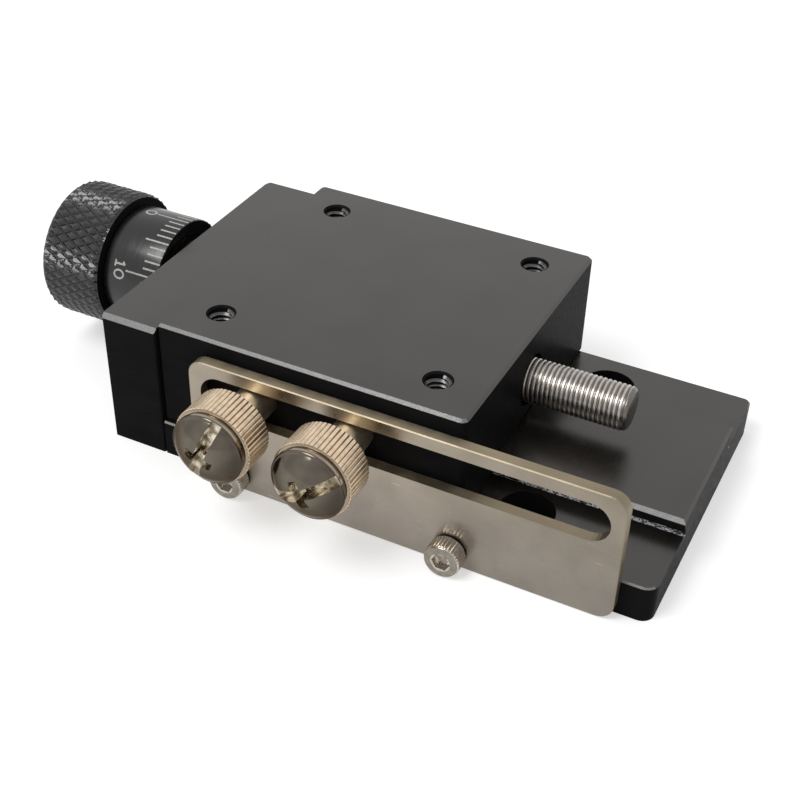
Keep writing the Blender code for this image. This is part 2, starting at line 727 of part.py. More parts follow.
def build_thumb_screw(name, finish, holder, turned):
    """Thumb screw with a straight knurl, a beaded edge and a domed, cross-slotted face."""
    centre = holder.matrix_world.translation
    tip = table_front + thumb_reach
    knurl_back = head_back - thumb_edge
    knurl_front = knurl_back - thumb_knurl_length
    groove = knurl_front - thumb_groove_width
    bead = groove - thumb_bead_width
    root = thumb_head_radius - thumb_tooth_depth
    profile = [(tip, 0), (tip, thumb_shank_radius - thumb_edge),
               (tip - thumb_edge, thumb_shank_radius), (head_back, thumb_shank_radius),
               (head_back, thumb_head_radius - 2 * thumb_edge), (knurl_back, thumb_head_radius),
               (knurl_front, thumb_head_radius), (knurl_front, thumb_groove_radius),
               (groove, thumb_groove_radius), (groove - thumb_bead_width / 3, thumb_bead_radius),
               (bead, thumb_bead_radius)]
    apex = bead - thumb_dome_height
    dome_rim = thumb_bead_radius - thumb_bead_edge
    rise = thumb_dome_height - thumb_bead_edge
    ball = (dome_rim ** 2 + rise ** 2) / (2 * rise)
    dome_steps = 6
    for step in range(dome_steps, -1, -1):
        swing = math.asin(dome_rim / ball) * step / dome_steps
        profile.append((apex + ball * (1 - math.cos(swing)), ball * math.sin(swing)))
    bm = bmesh.new()
    add_turned(bm, profile, "Y", Vector((centre.x, 0, centre.z)), 2 * thumb_teeth)
    for vert in bm.verts:
        radius = math.hypot(vert.co.x - centre.x, vert.co.z - centre.z)
        tooth = round(math.atan2(vert.co.z - centre.z, vert.co.x - centre.x) / math.pi * thumb_teeth)
        if near(radius, thumb_head_radius) and tooth % 2:
            vert.co.x = centre.x + (vert.co.x - centre.x) * root / radius
            vert.co.z = centre.z + (vert.co.z - centre.z) * root / radius
    screw = add_object(name, bm, finish, holder)

    slots = bmesh.new()
    half = thumb_slot_width / 2
    for long_half, floor, lean in ((2 * thumb_bead_radius, thumb_slot_depth, 0.0),
                                   (thumb_cross_length / 2, thumb_cross_depth, 0.5 * math.pi)):
        fresh = bmesh.new()
        add_prism(fresh, [(-long_half, -half), (long_half, -half), (long_half, half), (-long_half, half)],
                  "Y", apex - overshoot, apex + floor)
        spin = Matrix.Translation((centre.x, 0, centre.z)) @ Matrix.Rotation(-turned - lean, 4, "Y")
        bmesh.ops.transform(fresh, matrix=spin, verts=fresh.verts)
        merge_into(slots, fresh)
    cut(screw, slots, "driver_slots")
    screw.modifiers["driver_slots"].use_self = True


def build():
    """Every piece of the slide, fixed ones first, then what slides and what turns."""
    clear_scene()
    finishes = {"black": material("black_anodised", (0.035, 0.034, 0.032), 0.42, 0.1),
                "knurl": material("black_knurled", (0.022, 0.022, 0.022), 0.45, 0.2),
                "nickel": material("satin_nickel", (0.42, 0.37, 0.30), 0.34, 1.0),
                "steel": material("bright_steel", (0.50, 0.47, 0.42), 0.30, 1.0),
                "gold": material("pale_gold_nickel", (0.72, 0.58, 0.40), 0.22, 1.0),
                "brass": material("brass", (0.65, 0.45, 0.18), 0.30, 1.0),
                "dark_steel": material("dark_steel", (0.06, 0.06, 0.06), 0.40, 0.8)}
    build_base(finishes)
    build_end_block(finishes)
    head_seat = block_left + block_screw_sink + cap_head_height
    for side, y in zip(("front", "back"), block_screw_places()):
        add_cap_screw(f"end_block_screw_{side}", finishes["dark_steel"],
                      Vector((head_seat, y, block_screw_height)), "X", block_screw_length)
    build_screw_bearing(finishes)
    build_plate(finishes)
    for side, x in zip(("left", "right"), plate_screw_places()):
        add_cap_screw(f"lock_plate_screw_{side}", finishes["nickel"],
                      Vector((x, plate_front - seat, plate_screw_height)), "Y", plate_screw_length)

    slide = add_empty("slide_axis", Vector((table_middle_x, table_middle_y, table_bottom)))
    build_table(finishes, slide)
    build_table_insides(finishes, slide)
    for side, x in zip(("left", "right"), thumb_places()):
        holder = add_empty(f"thumb_axis_{side}", Vector((x, table_front, slot_centre_height)), slide)
        build_thumb_screw(f"thumb_screw_{side}", finishes["gold"], holder, thumb_turns[side])

    spindle = add_empty("spindle_axis", Vector((block_right, axis_y, axis_z)))
    build_feed_screw(finishes, spindle)
    build_dial(finishes, spindle)
    build_knob(finishes, spindle)


build()
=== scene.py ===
"""Dressed model of a compact dovetail slide, built on its CAD frame.

Metres, +Z up. +X runs from the knob along the feed screw, and -Y carries the lock plate.
"""
import math

import bmesh
import bpy
from mathutils import Matrix, Vector


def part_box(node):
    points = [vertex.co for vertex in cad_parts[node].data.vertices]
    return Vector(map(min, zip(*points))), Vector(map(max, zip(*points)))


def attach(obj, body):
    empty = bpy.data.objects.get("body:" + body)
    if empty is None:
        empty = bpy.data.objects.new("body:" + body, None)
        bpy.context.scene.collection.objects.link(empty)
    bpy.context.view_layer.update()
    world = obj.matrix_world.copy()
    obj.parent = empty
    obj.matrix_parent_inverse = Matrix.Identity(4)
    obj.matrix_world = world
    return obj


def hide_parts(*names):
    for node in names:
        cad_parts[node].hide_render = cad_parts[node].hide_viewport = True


mm = 0.001

# Camera, as the photograph was taken
camera_place = Vector((65.4, -159.44, 135.76)) * mm
camera_azimuth = math.radians(25.67)    # from looking along +Y, turning left
camera_drop = math.radians(36.63)       # below the horizon
camera_roll = math.radians(1.68)
camera_focal_pixels = 1361.1
camera_frame_pixels = 800
camera_sensor = 36.0
camera_near = 0.01

# Lamp, floor and surround
lamp_place = Vector((-0.18, -0.30, 0.56))
lamp_aim = Vector((0.0, 0.0, 0.01))
lamp_size = 0.27
lamp_watts = 1.95
floor_half = 3.0
floor_drop = 0.02 * mm                  # below the base's underside
floor_grey = 0.66
floor_glow = 0.47                       # where the camera or a reflection sees the floor
surround_light = 0.66                   # strength that lights the object
surround_seen = 1.0                     # strength that the camera and reflections see
white = (1.0, 1.0, 1.0, 1.0)

# Faces of the black parts, told apart by height and by the parts of their normals
flange_top = 6.15 * mm
relief_floor = 5.7 * mm
same_level = 0.02 * mm
level_up = 0.99
slope_up = (0.15, 0.98)
slope_reach = 0.9 * mm                  # how far below a top its chamfer may lie
# Chamfers facing -Y beyond this get the pale chamfer finish, a painted highlight
painted_highlight_facing = -0.3
end_out = 0.5
under_up = -0.2
hole_rim = 0.5 * mm                     # countersink round a tapped hole

# Chamfers that are cut in the render only
block_chamfer = 0.7 * mm
rail_front = -13.05 * mm
rail_chamfer = 0.90 * mm
cutter_spare = 0.3 * mm

# Angles above which an edge is sharp
crease = math.radians(30.0)
knurl_crease = math.radians(20.0)

# Diamond knurl of the knob
knurl_around = 43
knurl_lead = 3.17 * mm                  # length of one diamond along the knob
knurl_steps = 8                         # columns and rows to one diamond
knurl_depth = 0.36 * mm
knurl_blunt = 0.72                      # share of the full height at which the tips are cut off
knob_chamfer = 0.45 * mm
knob_dish_radius = 8.4 * mm
knob_dish_edge = 0.5 * mm
knob_dish_depth = 0.8 * mm
knob_bore = 2.7 * mm
knob_head_bore = 3.2 * mm
knob_head_floor = 4.2 * mm
knob_bore_floor = 6.0 * mm
knob_screw_bore = 1.65 * mm
hub_radius = 7.0 * mm

# Dial
dial_gap = 0.2 * mm                     # to the knob's head and to the feed screw's shoulder
dial_bore = 7.2 * mm
dial_columns = 160
divisions = 50
tick_width = 0.29 * mm
tick_start = 0.02 * mm                  # from the dial's inner end
tick_lengths = {10: 6.0 * mm, 5: 4.4 * mm, 1: 2.9 * mm}
mark_height = 0.02 * mm
mark_depth = 0.30 * mm
zero_angle = math.radians(83.5)
digit_height = 2.0 * mm
digit_width = 1.67 * mm
digit_gap = 0.1 * mm
digit_stroke = 0.32 * mm
digit_foot = 6.25 * mm                  # from the dial's inner end to the foot of the digits
dial_screw_bore = 1.25 * mm
dial_screw_depth = 6.0 * mm

# Feed screw
feed_radius = 3.5 * mm
feed_pitch = 0.75 * mm
feed_depth = 0.17 * mm
feed_foot = 0.86                        # width of the thread at its foot, as a share of the pitch
feed_crest = 0.30                       # and at its crest
feed_chamfer = 0.7 * mm
feed_steps = 56                         # to one turn
thread_root = 0.05 * mm                 # how deep a thread sits in its wall
knob_seat_radius = 2.5 * mm
journal_radius = 3.0 * mm
collar_radius = 6.2 * mm
collar_width = 2.2 * mm
collar_sink = 2.8 * mm                  # from the end block's inner face to the collar's outer face
core_columns = 48

# Tapped holes
tap_radius = 2.0 * mm
tap_pitch = 0.8 * mm
tap_depth = 0.36 * mm
tap_foot = 0.9                          # width of the thread at its foot, as a share of the pitch
tap_crest = (0.38, 0.52)                # where its crest begins and ends, likewise
tap_start = 0.35 * mm
tap_end = 8.0 * mm
tap_steps = 36
tap_spacing = 18.0 * mm
tap_shift_x = -0.4 * mm

# Thumb screws
thumb_ridges = 54
thumb_ridge_steps = 10
thumb_radius = 6.1 * mm
thumb_tooth = 0.17 * mm
thumb_groove_share = 0.17               # half the width of a groove, as a share of the pitch
thumb_dome_height = 2.8 * mm
thumb_dome_steps = 14
thumb_bead_steps = 4
thumb_bead_radius = 5.7 * mm
thumb_bead_edge = 0.4 * mm
thumb_neck_depth = 0.26 * mm
thumb_shank_radius = 2.9 * mm
thumb_head_length = 9.7 * mm
thumb_slot_half = 0.85 * mm
thumb_slot_depth = 2.65 * mm
thumb_cross_reach = 2.7 * mm
thumb_cross_foot = 1.0 * mm
thumb_cross_depth = 3.2 * mm
thumb_cross_share = (0.92, 0.6)         # its half widths at mouth and foot, as shares of the slot's
thumb_cut_above = 1.0 * mm
thumb_turns = {"left": math.radians(70.0), "right": math.radians(29.0)}

# Cap screws
cap_ridges = 36
cap_tooth = 0.14 * mm
cap_head_height = 3.0 * mm
cap_head_radius = 2.8 * mm
cap_shank_radius = 1.45 * mm
cap_socket_flats = 2.5 * mm
cap_socket_depth = 1.6 * mm
cap_socket_cone = 0.5 * mm
cap_socket_floor = 0.96                 # radius of the drilled floor, as a share of half the flats
cap_socket_mouth = 1.24                 # and of the countersunk mouth
cap_edge = 0.3 * mm

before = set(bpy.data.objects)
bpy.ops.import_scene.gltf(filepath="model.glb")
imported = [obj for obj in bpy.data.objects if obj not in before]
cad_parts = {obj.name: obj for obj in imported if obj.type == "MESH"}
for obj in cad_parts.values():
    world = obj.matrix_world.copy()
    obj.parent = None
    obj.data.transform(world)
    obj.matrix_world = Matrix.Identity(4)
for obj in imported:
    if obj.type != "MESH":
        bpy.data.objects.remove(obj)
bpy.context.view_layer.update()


class Finish:
    """A Principled material with the nodes that feed it."""

    def __init__(self, name, metallic=0.0, specular=0.5, ior=1.5):
        self.made = bpy.data.materials.new(name)
        self.made.use_nodes = True
        self.tree = self.made.node_tree
        self.shader = self.tree.nodes["Principled BSDF"]
        self.shader.inputs["Metallic"].default_value = metallic
        self.shader.inputs["Specular IOR Level"].default_value = specular
        self.shader.inputs["IOR"].default_value = ior
        self.place = self.tree.nodes.new("ShaderNodeTexCoord").outputs["Object"]
        self.normal = self.tree.nodes.new("ShaderNodeNewGeometry").outputs["Normal"]

    def feed(self, socket, value):
        """Link an output to a socket, or set the socket to a plain value."""
        if isinstance(value, bpy.types.NodeSocket):
            self.tree.links.new(value, socket)
        else:
            socket.default_value = value

    def tint(self, socket, colour):
        """Feed a colour, given as three numbers or as an output."""
        self.feed(socket, (*colour, 1.0) if isinstance(colour, tuple) else colour)

    def node(self, kind, settings=None, **inputs):
        """Add a node; the inputs' names are written with _ for a space."""
        made = self.tree.nodes.new("ShaderNode" + kind)
        for key, value in (settings or {}).items():
            setattr(made, key, value)
        for key, value in inputs.items():
            self.feed(made.inputs[key.replace("_", " ")], value)
        return made

    def maths(self, operation, first, second=0.0):
        """Result of one sum."""
        made = self.node("Math", {"operation": operation})
        self.feed(made.inputs[0], first)
        self.feed(made.inputs[1], second)
        return made.outputs[0]

    def part(self, vector, axis):
        """One component of a vector."""
        return self.node("SeparateXYZ", Vector=vector).outputs[axis]

    def spread(self, value, low, high, to_low=0.0, to_high=1.0):
        """Map low..high to another range, with soft ends."""
        made = self.node("MapRange", {"interpolation_type": "SMOOTHSTEP"}, Value=value)
        for key, number in (("From Min", low), ("From Max", high), ("To Min", to_low), ("To Max", to_high)):
            made.inputs[key].default_value = number
        return made.outputs["Result"]

    def noise(self, size, stretch=(1, 1, 1), detail=3.0):
        """Noise with grains of a size, stretched along each axis."""
        scale = tuple(1.0 / (size * along) for along in stretch)
        moved = self.node("Mapping", Vector=self.place, Scale=scale)
        return self.node("TexNoise", Vector=moved.outputs[0], Scale=1.0, Detail=detail).outputs["Fac"]

    def blend(self, factor, first, second):
        """Mix two colours."""
        made = self.node("Mix", {"data_type": "RGBA"})
        self.feed(made.inputs[0], factor)
        self.tint(made.inputs[6], first)
        self.tint(made.inputs[7], second)
        return made.outputs[2]

    def shade(self, colour, factor):
        """Darken or lighten a colour by a factor near one."""
        made = self.node("Mix", {"data_type": "RGBA", "blend_type": "MULTIPLY"})
        made.inputs[0].default_value = 1.0
        self.tint(made.inputs[6], colour)
        grey = self.node("CombineColor", Red=factor, Green=factor, Blue=factor)
        self.feed(made.inputs[7], grey.outputs[0])
        return made.outputs[2]

    def from_axis(self, first_axis, second_axis):
        """Distance from the object's own axis, from the two components across it."""
        first, second = (self.part(self.place, axis) for axis in (first_axis, second_axis))
        return self.maths("SQRT", self.maths("ADD", self.maths("MULTIPLY", first, first),
                                             self.maths("MULTIPLY", second, second)))

    def colour(self, value):
        """Set or feed the base colour."""
        self.tint(self.shader.inputs["Base Color"], value)

    def roughness(self, value):
        """Set or feed the roughness."""
        self.feed(self.shader.inputs["Roughness"], value)

    def relief(self, height, depth):
        """Bump of a depth in metres."""
        made = self.node("Bump", Strength=1.0, Distance=depth, Height=height)
        self.feed(self.shader.inputs["Normal"], made.outputs[0])


def anodised_tops():
    """Dyed and finely ground flats, smooth enough to mirror softly what stands on them."""
    finish = Finish("anodised_tops", ior=1.67)
    finish.shader.inputs["Specular Tint"].default_value = (1.0, 0.965, 0.92, 1.0)
    cloud = finish.spread(finish.noise(11 * mm, detail=1.0), 0.3, 0.7, 0.7, 1.4)
    finish.colour(finish.shade((0.0085, 0.0072, 0.0060), cloud))
    grain = finish.noise(0.05 * mm, (50, 1, 1))
    wide = finish.spread(finish.noise(6 * mm, detail=1.0), 0.3, 0.7, 0.20, 0.26)
    finish.roughness(finish.maths("ADD", wide, finish.spread(grain, 0.25, 0.75, 0.0, 0.03)))
    finish.relief(grain, 0.0006 * mm)
    return finish.made


def anodised_sides():
    """Dyed sides, deep black with the faint lines of the cutter."""
    finish = Finish("anodised_sides", specular=0.009)
    lines = finish.noise(0.09 * mm, (70, 1, 3))
    tone = finish.blend(finish.noise(5 * mm, detail=1.0), (0.0070, 0.0066, 0.0070), (0.0115, 0.0108, 0.0110))
    finish.colour(finish.shade(tone, finish.spread(lines, 0.25, 0.75, 0.88, 1.14)))
    finish.roughness(finish.spread(finish.noise(0.8 * mm), 0.2, 0.8, 0.30, 0.42))
    finish.relief(lines, 0.0005 * mm)
    return finish.made


def machined_edges():
    """Chamfers cut late, paler and rougher than the flats, with sparkling tool marks; only chamfers facing
    -Y get this finish, so their paleness is partly bare metal and partly a painted highlight.
    """
    finish = Finish("machined_edges", ior=2.0)
    marks = finish.spread(finish.noise(0.16 * mm, (1.6, 1, 1), detail=4.0), 0.3, 0.7, 0.6, 1.5)
    # Paler tone of the front chamfers: partly bare metal, partly painted highlight
    worn = finish.blend(finish.noise(2.2 * mm), (0.045, 0.044, 0.043), (0.085, 0.083, 0.081))
    finish.colour(finish.shade(worn, marks))
    finish.roughness(finish.spread(finish.noise(0.3 * mm), 0.25, 0.75, 0.34, 0.50))
    finish.relief(finish.noise(0.14 * mm, (1.6, 1, 1), detail=4.0), 0.010 * mm)
    return finish.made


def torn_relief():
    """Groove at the rail's foot: black, with bright crumbs along it that are partly torn bare metal and
    partly painted glints.
    """
    finish = Finish("torn_relief", ior=1.6)
    crumbs = finish.spread(finish.noise(0.20 * mm, (1.5, 1, 1), detail=5.0), 0.46, 0.54)
    streaks = finish.spread(finish.noise(0.9 * mm, (2.5, 1, 1), detail=1.0), 0.30, 0.46)
    # Bright crumbs: partly torn bare metal, partly painted glints
    bright = finish.maths("MULTIPLY", crumbs, streaks)
    finish.colour(finish.blend(bright, (0.006, 0.006, 0.007), (0.80, 0.81, 0.86)))
    finish.roughness(finish.spread(bright, 0.0, 1.0, 0.40, 0.22))
    finish.relief(finish.noise(0.16 * mm, (1.5, 1, 1), detail=5.0), 0.05 * mm)
    return finish.made


def turned_black():
    """Black dial with fine rings from the lathe."""
    finish = Finish("dial_black", ior=1.52)
    rings = finish.noise(0.05 * mm, (1, 80, 80))
    finish.colour(finish.shade((0.004, 0.0038, 0.0038), finish.spread(rings, 0.3, 0.7, 0.7, 1.4)))
    finish.roughness(finish.spread(finish.noise(0.4 * mm, (1, 12, 12)), 0.2, 0.8, 0.20, 0.30))
    finish.relief(rings, 0.0010 * mm)
    return finish.made


def knurled_black(radius):
    """Black knurl whose points are worn lighter."""
    finish = Finish("knob_knurl", ior=1.55)
    tip = finish.spread(finish.from_axis(1, 2), radius - knurl_depth * 0.45, radius - knurl_depth * 0.15)
    worn = finish.maths("MULTIPLY", tip, finish.spread(finish.noise(0.6 * mm), 0.35, 0.65, 0.15, 1.0))
    finish.colour(finish.blend(worn, (0.0018, 0.0018, 0.0020), (0.034, 0.034, 0.033)))
    finish.roughness(finish.spread(finish.noise(0.3 * mm), 0.2, 0.8, 0.14, 0.24))
    finish.relief(finish.noise(0.12 * mm), 0.012 * mm)
    return finish.made


def plated(name, colour, roughness, relief=0.006 * mm):
    """Plated or bare metal with faint smears and fine handling marks."""
    finish = Finish(name, metallic=1.0)
    finish.colour(finish.shade(colour, finish.spread(finish.noise(1.1 * mm), 0.25, 0.75, 0.86, 1.08)))
    finish.roughness(finish.spread(finish.noise(0.35 * mm), 0.25, 0.75, *roughness))
    finish.relief(finish.noise(0.25 * mm, detail=5.0), relief)
    return finish.made


def domed_nickel():
    """Smoothly worn nickel dome, painted darker than the knurl as shade for the dark surroundings it
    mirrors, and browner and darker still toward its sides, also painted shade.
    """
    finish = Finish("dome_nickel", metallic=1.0)
    finish.shader.inputs["Specular Tint"].default_value = (0.52, 0.48, 0.44, 1.0)
    # Painted shade: darker toward the sides, for the dark surroundings they mirror
    aside = finish.spread(finish.maths("ABSOLUTE", finish.part(finish.place, 1)), 1.2 * mm, 5.2 * mm)
    smear = finish.spread(finish.noise(3.0 * mm, detail=1.0), 0.35, 0.65, 0.80, 1.12)
    finish.colour(finish.shade(finish.blend(aside, (0.135, 0.118, 0.096), (0.075, 0.064, 0.051)), smear))
    finish.roughness(finish.spread(finish.noise(0.9 * mm), 0.25, 0.75, 0.09, 0.17))
    finish.relief(finish.noise(1.6 * mm, detail=2.0), 0.02 * mm)
    return finish.made


def battered_nickel():
    """Slot walls bruised by drivers: dark and bright by turns, the bright patches partly bruises and partly
    painted glints.
    """
    finish = Finish("cut_nickel", metallic=1.0)
    # Bright patches: partly bruises, partly painted glints
    bruises_and_glints = finish.spread(finish.noise(1.5 * mm, detail=1.0), 0.36, 0.64)
    finish.colour(finish.blend(bruises_and_glints, (0.24, 0.20, 0.145), (0.70, 0.64, 0.52)))
    finish.roughness(finish.spread(bruises_and_glints, 0.0, 1.0, 0.30, 0.10))
    finish.relief(finish.noise(0.9 * mm, detail=2.0), 0.10 * mm)
    return finish.made


def grooved(name, shaded_root_colour, crest_colour, root, crest, roughness):
    """Metal round the X axis that is dark at one radius, in its grooves, as painted shade, and pale at
    another.
    """
    finish = Finish(name, metallic=1.0)
    # Painted shade: darker toward the roots of the grooves
    tone = finish.blend(finish.spread(finish.from_axis(1, 2), root, crest), shaded_root_colour, crest_colour)
    finish.colour(finish.shade(tone, finish.spread(finish.noise(0.9 * mm), 0.25, 0.75, 0.82, 1.12)))
    finish.roughness(finish.spread(finish.noise(0.3 * mm), 0.25, 0.75, *roughness))
    finish.relief(finish.noise(0.2 * mm, detail=5.0), 0.008 * mm)
    return finish.made


def tapped_black():
    """Tapped hole whose crests are rubbed bright."""
    finish = Finish("tapped_black", ior=1.7)
    crest = finish.spread(finish.from_axis(1, 2), tap_radius - tap_depth,
                          tap_radius - 0.5 * tap_depth, 1.0, 0.0)
    rubbed = finish.maths("MULTIPLY", crest, finish.spread(finish.noise(0.5 * mm), 0.4, 0.6, 0.25, 1.0))
    finish.colour(finish.blend(rubbed, (0.005, 0.005, 0.005), (0.13, 0.13, 0.125)))
    finish.roughness(finish.spread(finish.noise(0.3 * mm), 0.25, 0.75, 0.18, 0.32))
    finish.relief(finish.noise(0.15 * mm), 0.006 * mm)
    return finish.made


def lock_plate_metal():
    """Nickel-plated sheet, faintly clouded, with yellower cut edges and light scratches; painted light
    toward its top and painted shade toward its right end.
    """
    finish = Finish("lock_plate_nickel", metallic=1.0)
    facing = finish.maths("ABSOLUTE", finish.part(finish.normal, 1))
    flat = finish.spread(facing, 0.60, 0.97)
    # Painted light: the face is lighter toward its top
    painted_light_rising = finish.spread(finish.part(finish.place, 2), 2 * mm, 20 * mm)
    face = finish.blend(painted_light_rising, (0.315, 0.282, 0.245), (0.360, 0.315, 0.250))
    body = finish.blend(flat, (0.33, 0.275, 0.190), face)
    # Painted shade: the sheet is darker toward its right end
    right = finish.spread(finish.part(finish.place, 0), -10 * mm, 36 * mm, 1.0, 0.74)
    cloud = finish.spread(finish.noise(8 * mm), 0.3, 0.7, 0.88, 1.10)
    brushed = finish.spread(finish.noise(0.06 * mm, (90, 1, 1)), 0.25, 0.75, 0.96, 1.04)
    nicks = finish.spread(finish.noise(0.30 * mm, (14, 1, 1), detail=2.0), 0.73, 0.78, 1.0, 1.5)
    marks = finish.maths("MULTIPLY", brushed, nicks)
    finish.colour(finish.shade(finish.shade(finish.shade(body, cloud), marks), right))
    wavy = finish.spread(finish.noise(2.0 * mm), 0.25, 0.75, 0.26, 0.36)
    finish.roughness(finish.maths("ADD", wavy, finish.spread(flat, 0.0, 1.0, 0.14, 0.0)))
    finish.relief(finish.noise(1.2 * mm, (6, 1, 1), detail=2.0), 0.004 * mm)
    return finish.made


def painted():
    """White paint wiped into the dial's engraving."""
    finish = Finish("dial_paint", specular=0.3)
    patchy = finish.spread(finish.noise(0.25 * mm), 0.25, 0.75, 0.7, 1.1)
    finish.colour(finish.shade((0.46, 0.45, 0.43), patchy))
    finish.roughness(finish.spread(finish.noise(0.5 * mm), 0.2, 0.8, 0.5, 0.7))
    finish.relief(finish.noise(0.1 * mm), 0.004 * mm)
    return finish.made


def link_piece(name, mesh, body, matrix):
    """Put a mesh into the scene as a piece of a body."""
    piece = bpy.data.objects.new(name, mesh)
    bpy.context.scene.collection.objects.link(piece)
    piece.matrix_world = matrix
    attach(piece, body)
    return piece


def add_piece(name, bm, materials, body, place, turn=Matrix.Identity(4), sharp=crease):
    """Turn a bmesh into a piece that rides on a body; the mesh is drawn round its own origin."""
    mesh = bpy.data.meshes.new(name)
    bmesh.ops.remove_doubles(bm, verts=bm.verts, dist=1e-7)
    bmesh.ops.dissolve_degenerate(bm, edges=bm.edges, dist=1e-8)
    bmesh.ops.recalc_face_normals(bm, faces=bm.faces)
    bm.to_mesh(mesh)
    bm.free()
    for material in materials:
        mesh.materials.append(material)
    mesh.shade_smooth()
    mesh.set_sharp_from_angle(angle=sharp)
    return link_piece(name, mesh, body, Matrix.Translation(place) @ turn)


def carve(piece, tools):
    """Cut tools, drawn round the piece's own origin, out of a piece for good."""
    cutters = []
    for bm in tools:
        mesh = bpy.data.meshes.new("cutter")
        bmesh.ops.recalc_face_normals(bm, faces=bm.faces)
        bm.to_mesh(mesh)
        bm.free()
        for material in piece.data.materials:
            mesh.materials.append(material)
        cutter = bpy.data.objects.new("cutter", mesh)
        bpy.context.scene.collection.objects.link(cutter)
        cutter.matrix_world = piece.matrix_world.copy()
        cutters.append(cutter)
        boolean = piece.modifiers.new("carve", "BOOLEAN")
        boolean.operation = "DIFFERENCE"
        boolean.solver = "EXACT"
        boolean.object = cutter
    bpy.context.view_layer.update()
    shaped = bpy.data.meshes.new_from_object(piece.evaluated_get(bpy.context.evaluated_depsgraph_get()))
    piece.modifiers.clear()
    piece.data = shaped
    shaped.set_sharp_from_angle(angle=crease)
    for cutter in cutters:
        bpy.data.objects.remove(cutter, do_unlink=True)


def skin(bm, rings, finish=0):
    """Join rings of points into a surface of one finish."""
    rows = [[bm.verts.new(point) for point in points] for points in rings]
    for lower, upper in zip(rows, rows[1:]):
        for k in range(len(lower)):
            bm.faces.new((lower[k - 1], lower[k], upper[k], upper[k - 1])).material_index = finish
    return rows


def ring(along, radius, columns):
    """Points round the X axis; radius is a number or a function of the angle."""
    points = []
    for k in range(columns):
        angle = 2 * math.pi * k / columns
        size = radius(angle) if callable(radius) else radius
        points.append(Vector((along, size * math.cos(angle), size * math.sin(angle))))
    return points


def coil(bm, start, end, pitch, section, limit, steps):
    """Sweep a closed section of (along, radius) points along a helix about the X axis."""
    count = int((end - start) / pitch * steps)
    rows = []
    for k in range(count + 1):
        angle = 2 * math.pi * k / steps
        base = start + pitch * k / steps
        row = []
        for along, radius in section:
            size = limit(base + along, radius)
            row.append(bm.verts.new((base + along, size * math.cos(angle), size * math.sin(angle))))
        rows.append(row)
    for lower, upper in zip(rows, rows[1:]):
        for k in range(len(section)):
            bm.faces.new((lower[k - 1], lower[k], upper[k], upper[k - 1]))
    bm.faces.new(rows[0])
    bm.faces.new(rows[-1][::-1])


def middle_of(node):
    """Middle of a CAD node's box."""
    low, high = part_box(node)
    return (low + high) / 2


def spindle_axis(along):
    """A point on the feed screw's axis."""
    centre = middle_of("dial_sleeve")
    return Vector((along, centre.y, centre.z))


def dress_black(node, body, levels, finishes):
    """Stand a copy of a CAD solid in for it, with its own finish on tops, chamfers and sides."""
    sides, tops, edges, relief = range(4)
    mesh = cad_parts[node].data.copy()
    if "custom_normal" in mesh.attributes:
        mesh.attributes.remove(mesh.attributes["custom_normal"])
    mesh.shade_smooth()
    mesh.set_sharp_from_angle(angle=crease)
    mesh.materials.clear()
    for finish in finishes:
        mesh.materials.append(finish)
    holes = tapped_places() if node == "slide_table" else []
    for face in mesh.polygons:
        up, height = face.normal.z, face.center.z
        in_hole = any((face.center.xy - hole.xy).length < tap_radius + hole_rim for hole in holes)
        near_top = any(0.0 < level - height < slope_reach for level in levels)
        face.material_index = sides
        if up > level_up and any(abs(height - level) < same_level for level in levels):
            face.material_index = tops
        # Chamfers facing -Y get the pale finish, a painted highlight; the other chamfers keep the tops'
        # finish
        elif slope_up[0] < up < slope_up[1] and near_top and not in_hole:
            face.material_index = edges if face.normal.y < painted_highlight_facing else tops
        elif node == "base_plate" and relief_floor - same_level < height < flange_top - same_level:
            face.material_index = relief if abs(face.normal.x) < end_out and up > under_up else sides
    piece = link_piece(f"{node}_dressed", mesh, body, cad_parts[node].matrix_world.copy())
    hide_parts(node)
    return piece


def chamfer(piece, start, end, edges):
    """Cut 45-degree chamfers along X; each edge is (y, z, way inward, width, finish)."""
    inverse = piece.matrix_world.inverted()
    spare = cutter_spare
    tools = []
    for y, z, inward, width, finish in edges:
        corners = ((-spare, -width - spare), (-spare, spare), (width + spare, spare))
        bm = bmesh.new()
        rows = [[bm.verts.new(inverse @ Vector((x, y + inward * across, z + up)))
                 for across, up in corners] for x in (start - spare, end + spare)]
        for k in range(3):
            bm.faces.new((rows[0][k - 1], rows[0][k], rows[1][k], rows[1][k - 1]))
        bm.faces.new(rows[0])
        bm.faces.new(rows[1][::-1])
        for face in bm.faces:
            face.material_index = finish
        tools.append(bm)
    carve(piece, tools)


def tapped_places():
    """Mouths of the four tapped holes in the table's top."""
    middle = middle_of("slide_table")
    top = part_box("slide_table")[1].z
    return [Vector((middle.x + tap_shift_x + side_x * tap_spacing, middle.y + side_y * tap_spacing, top))
            for side_x, side_y in ((-1, -1), (1, -1), (-1, 1), (1, 1))]


def knurl_height(row, column):
    """Height of the diamond knurl, from 0 in a groove to 1 on a blunted tip."""
    heights = []
    for place in (row + column, row - column):
        swing = (place % knurl_steps) / knurl_steps
        heights.append(abs(2 * swing - 1))
    return min(min(heights) / knurl_blunt, 1.0)


